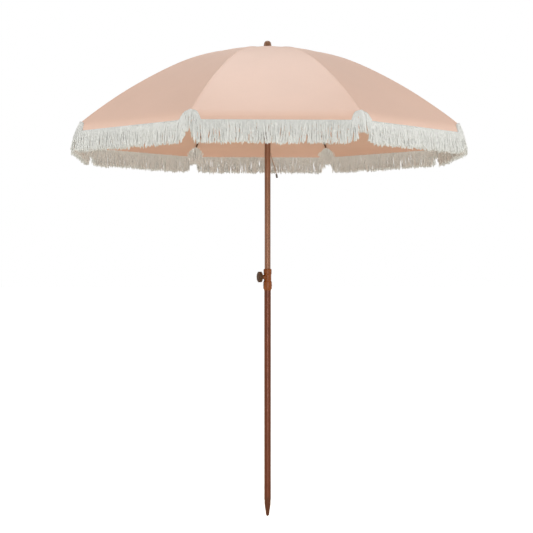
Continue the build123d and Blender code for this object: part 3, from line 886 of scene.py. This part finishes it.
def make_strap():
    """The thin tie strap that hangs inside the rear panel, and the points it follows."""
    curve = bpy.data.curves.new("tie_strap_cord", "CURVE")
    curve.dimensions = "3D"
    spline = curve.splines.new("NURBS")
    spline.points.add(len(STRAP_ROUTE) - 1)
    for point, place in zip(spline.points, STRAP_ROUTE):
        point.co = (*place, 1)
    spline.order_u = 3
    spline.use_endpoint_u = True
    curve.resolution_u = 8
    route = bpy.data.objects.new("tie_strap_route", curve)
    bpy.context.scene.collection.objects.link(route)
    line = bpy.data.meshes.new_from_object(route)
    path = [tuple(vert.co) for vert in line.vertices]
    curve.bevel_depth = STRAP_DIAMETER / 2
    curve.bevel_resolution = 3
    curve.use_fill_caps = True
    bpy.context.view_layer.update()
    depsgraph = bpy.context.evaluated_depsgraph_get()
    tube = bpy.data.meshes.new_from_object(route.evaluated_get(depsgraph))
    bpy.data.objects.remove(route)
    bpy.data.curves.remove(curve)
    bpy.data.meshes.remove(line)
    bm = bmesh.new()
    bm.from_mesh(tube)
    bmesh.ops.remove_doubles(bm, verts=bm.verts, dist=MERGE_DISTANCE)
    bmesh.ops.recalc_face_normals(bm, faces=bm.faces)
    bm.to_mesh(tube)
    bm.free()
    tube.name = "tie_strap_cord"
    tube.materials.clear()
    tube.materials.append(cotton_material("strap_webbing", finishes().strap, 0.0009, 0.0002))
    strap = bpy.data.objects.new("tie_strap_cord", tube)
    bpy.context.scene.collection.objects.link(strap)
    return strap, path


# ------------------------------------------------------------------ operators


class UMBRELLA_OT_stage(bpy.types.Operator):
    """Set up the pale floor, the soft studio lights and the camera."""

    bl_idname = "umbrella.stage"
    bl_label = "Stage"

    def execute(self, context):
        make_floor()
        make_lights()
        make_camera()
        return {"FINISHED"}


def make_floor():
    """A wide pale floor, which melts into the white room."""
    bm = bmesh.new()
    bmesh.ops.create_grid(bm, x_segments=1, y_segments=1, size=60)
    finish = Finish("studio_floor", 0.95)
    tone_map = finish.group(mottle_group(), "Object", Scale=0.6, Low=0.0, High=1.0)
    finish.colours(tone_map.outputs["Value"], (0.70, 0.66, 0.56), (0.74, 0.70, 0.60))
    finish.shader.inputs["Emission Color"].default_value = (1, 1, 1, 1)
    seen = finish.tree.nodes.new("ShaderNodeLightPath")
    glow = math_node(finish.tree, "MULTIPLY", seen.outputs["Is Camera Ray"], 0.80)
    finish.tree.links.new(glow, finish.shader.inputs["Emission Strength"])
    floor = finished("studio_floor", bm, finish.material)
    floor.location.z = -0.001


def add_area_light(name, at, aim, size, power):
    """A square soft light."""
    light = bpy.data.lights.new(name, "AREA")
    light.size = size
    light.energy = power
    lamp = bpy.data.objects.new(name, light)
    lamp.location = at
    lamp.rotation_euler = (Vector(aim) - Vector(at)).to_track_quat("-Z", "Y").to_euler()
    bpy.context.scene.collection.objects.link(lamp)
    return lamp


ROOM_STRENGTH = 0.55
SHEEN_WIDTH = 2.0
SHEEN_LENGTH = 9.8


def make_lights():
    """A white room, soft lights from the front and sides, and a long glossy one overhead."""
    world = bpy.data.worlds.new("studio")
    world.use_nodes = True
    tree = world.node_tree
    room = tree.nodes["Background"]
    room.inputs["Color"].default_value = (1, 1, 1, 1)
    seen = tree.nodes.new("ShaderNodeLightPath")
    strength = math_node(tree, "MAXIMUM", seen.outputs["Is Camera Ray"], ROOM_STRENGTH)
    tree.links.new(strength, room.inputs["Strength"])
    bpy.context.scene.world = world
    add_area_light("key", (-0.6, -4.0, 4.9), (0, 0, 1.6), 2.6, 8)
    for side in (-1, 1):
        add_area_light("side", (side * 4.6, 0.2, 3.6), (0, 0, 1.7), 2.4, 84)
    add_area_light("front_fill", (0.3, -4.3, 0.25), (0, 0, 1.5), 1.8, 80)
    sheen = add_area_light("sheen", (0, -1.0, 6.4), (0, -1.0, 0), SHEEN_WIDTH, 250)
    sheen.data.shape = "RECTANGLE"
    sheen.data.size_y = SHEEN_LENGTH
    sheen.visible_diffuse = False
    sheen.visible_transmission = False
    bpy.context.scene.view_settings.view_transform = "Standard"


CAMERA_DISTANCE = 5.62
CAMERA_HEIGHT = 1.05
CAMERA_TURN = math.radians(-2.35)
FOCAL_SHARE = 2.505
SENSOR_WIDTH = 36
CAMERA_SHIFT = -0.002


def make_camera():
    """A long lens, level, a little above the middle of the pole."""
    camera = bpy.data.cameras.new("camera")
    camera.sensor_width = SENSOR_WIDTH
    camera.lens = SENSOR_WIDTH * FOCAL_SHARE
    camera.shift_x = CAMERA_SHIFT
    rig = bpy.data.objects.new("camera", camera)
    away = Vector((math.sin(CAMERA_TURN), -math.cos(CAMERA_TURN), 0)) * CAMERA_DISTANCE
    rig.location = away + UP * CAMERA_HEIGHT
    rig.rotation_euler = (-away).to_track_quat("-Z", "Y").to_euler()
    bpy.context.scene.collection.objects.link(rig)
    bpy.context.scene.camera = rig


class UMBRELLA_OT_strap(bpy.types.Operator):
    """Make the tie strap, which carries its end fitting."""

    bl_idname = "umbrella.strap"
    bl_label = "Tie Strap"

    def execute(self, context):
        strap, path = make_strap()
        bodies = frame["record"]["behaviour"]["bodies"]
        body = next(name for name, nodes in bodies.items() if "tie_strap" in nodes)
        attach(strap, body)
        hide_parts("tie_strap")
        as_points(path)
        return {"FINISHED"}


class UMBRELLA_OT_canopy(bpy.types.Operator):
    """Make the cloth over every rib, with its seam stitching."""

    bl_idname = "umbrella.canopy"
    bl_label = "Canopy Cloth"

    def execute(self, context):
        area = strip_area()
        for strip in strips():
            cloth = make_canopy_strip(strip)
            stitches = make_seam_stitches(strip)
            for piece in (cloth, stitches):
                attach(piece, f"rib_body_{strip.number}")
            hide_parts(f"canopy_gore_{strip.number}")
            2 * profile_at(tip_distance())[0] * math.sin(HALF_PITCH)
            for piece in (cloth, stitches):
                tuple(strip.across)
                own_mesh(piece)
        return {"FINISHED"}


class UMBRELLA_OT_hem(bpy.types.Operator):
    """Make the hem that hangs past the rib tips, its tape, stitching and strands."""

    bl_idname = "umbrella.hem"
    bl_label = "Hem and Fringe"

    def execute(self, context):
        random.seed(8)
        templates = [strand_template(turns) for turns in (1.8, 2.3, 2.8)]
        for strip in strips():
            radius, height = profile_at(tip_distance())
            for side in (1, -1):
                hem = make_hem(strip, side)
                tape = make_tape(strip, side)
                stitches = make_hem_stitches(strip, side)
                strands = make_strands(strip, side, templates)
                for piece in (hem, tape, stitches, strands):
                    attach(piece, f"fringe_body_{strip.number}")
                if side > 0:
                    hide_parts(f"fringe_{strip.number}")
                self.hem_area(strip)
                for piece in (hem, tape, stitches, strands):
                    strip.hem_direction(side)
                    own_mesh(piece)
        for template in templates:
            bpy.data.meshes.remove(template)
        return {"FINISHED"}

    def hem_area(self, strip):
        """The flat area of the hem on one side of a rib."""
        width = profile_at(tip_distance())[0] * math.sin(HALF_PITCH)
        steps = 200
        places = (width * (k + 0.5) / steps for k in range(steps))
        return sum(strip.edge_distance(place) for place in places) * width / steps


class UMBRELLA_OT_top_patch(bpy.types.Operator):
    """Make the cloth patch under the finial."""

    bl_idname = "umbrella.top_patch"
    bl_label = "Top Patch"

    def execute(self, context):
        patch = make_top_patch()
        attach(patch, "upper_mast")
        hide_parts("top_cap")
        return {"FINISHED"}


STEEL_NODES = (
    "clamp_stud",
    "crown_wire",
    "runner_wire",
    "finial_bolt",
    "runner_catch",
    "collar_rivets",
)


class UMBRELLA_OT_hard_parts(bpy.types.Operator):
    """Give the pole, collar, knob, crown, ribs and fittings their finishes."""

    bl_idname = "umbrella.hard_parts"
    bl_label = "Hard Parts"

    def execute(self, context):
        look = finishes()
        dark = moulding_material("dark_moulding", look.dark_moulding, 0.45)
        steel = metal_material("plated_steel", tone(176, 170, 160), 0.35)
        rib = coat_material("rib_coat", look.rib_coat, 0.4, 0.25)
        by_node = {
            "lower_tube": coat_material("lower_pole_coat", look.lower_coat, 0.36, 0.3),
            "upper_tube": coat_material("upper_pole_coat", look.upper_coat, 0.36, 0.3),
            "ground_spike": moulding_material("spike_moulding", look.spike, 0.45),
            "height_collar": moulding_material("collar_moulding", look.collar, 0.42),
            "finial": moulding_material("finial_moulding", look.finial, 0.42),
            "collar_insert": metal_material("brass", tone(196, 160, 92), 0.3),
            "strap_end": moulding_material("strap_tip", look.strap_tip, 0.5),
        }
        for node in STEEL_NODES:
            by_node[node] = steel
        for name, piece in frame["nodes"].items():
            if piece.hide_render:
                continue
            material = by_node.get(name, dark)
            if name.startswith(("rib_", "stretcher_")) and not name.startswith("rib_fittings"):
                material = rib
            piece.data.materials.clear()
            piece.data.materials.append(material)
        return {"FINISHED"}


OPERATORS = (
    UMBRELLA_OT_stage,
    UMBRELLA_OT_strap,
    UMBRELLA_OT_canopy,
    UMBRELLA_OT_hem,
    UMBRELLA_OT_top_patch,
    UMBRELLA_OT_hard_parts,
)


class UMBRELLA_PT_sidebar(bpy.types.Panel):
    """The umbrella's pieces, in the order they are made."""

    bl_label = "Fringed Umbrella"
    bl_idname = "UMBRELLA_PT_sidebar"
    bl_space_type = "VIEW_3D"
    bl_region_type = "UI"
    bl_category = "Umbrella"

    def draw(self, context):
        for operator in OPERATORS:
            self.layout.operator(operator.bl_idname)


GROUPS = (
    (CanopySizes, "umbrella_canopy"),
    (FringeSizes, "umbrella_fringe"),
    (Finishes, "umbrella_finishes"),
)


def register():
    """Add the settings, the operators and the panel."""
    for group, name in GROUPS:
        bpy.utils.register_class(group)
        setattr(bpy.types.Scene, name, bpy.props.PointerProperty(type=group))
    for operator in OPERATORS:
        bpy.utils.register_class(operator)
    bpy.utils.register_class(UMBRELLA_PT_sidebar)


def unregister():
    """Take the panel, the operators and the settings away again."""
    bpy.utils.unregister_class(UMBRELLA_PT_sidebar)
    for operator in reversed(OPERATORS):
        bpy.utils.unregister_class(operator)
    for group, name in reversed(GROUPS):
        delattr(bpy.types.Scene, name)
        bpy.utils.unregister_class(group)


def main():
    """Make every piece."""
    register()
    for operator in OPERATORS:
        section, call = operator.bl_idname.split(".")
        getattr(getattr(bpy.ops, section), call)()


if __name__ == "__main__":
    main()
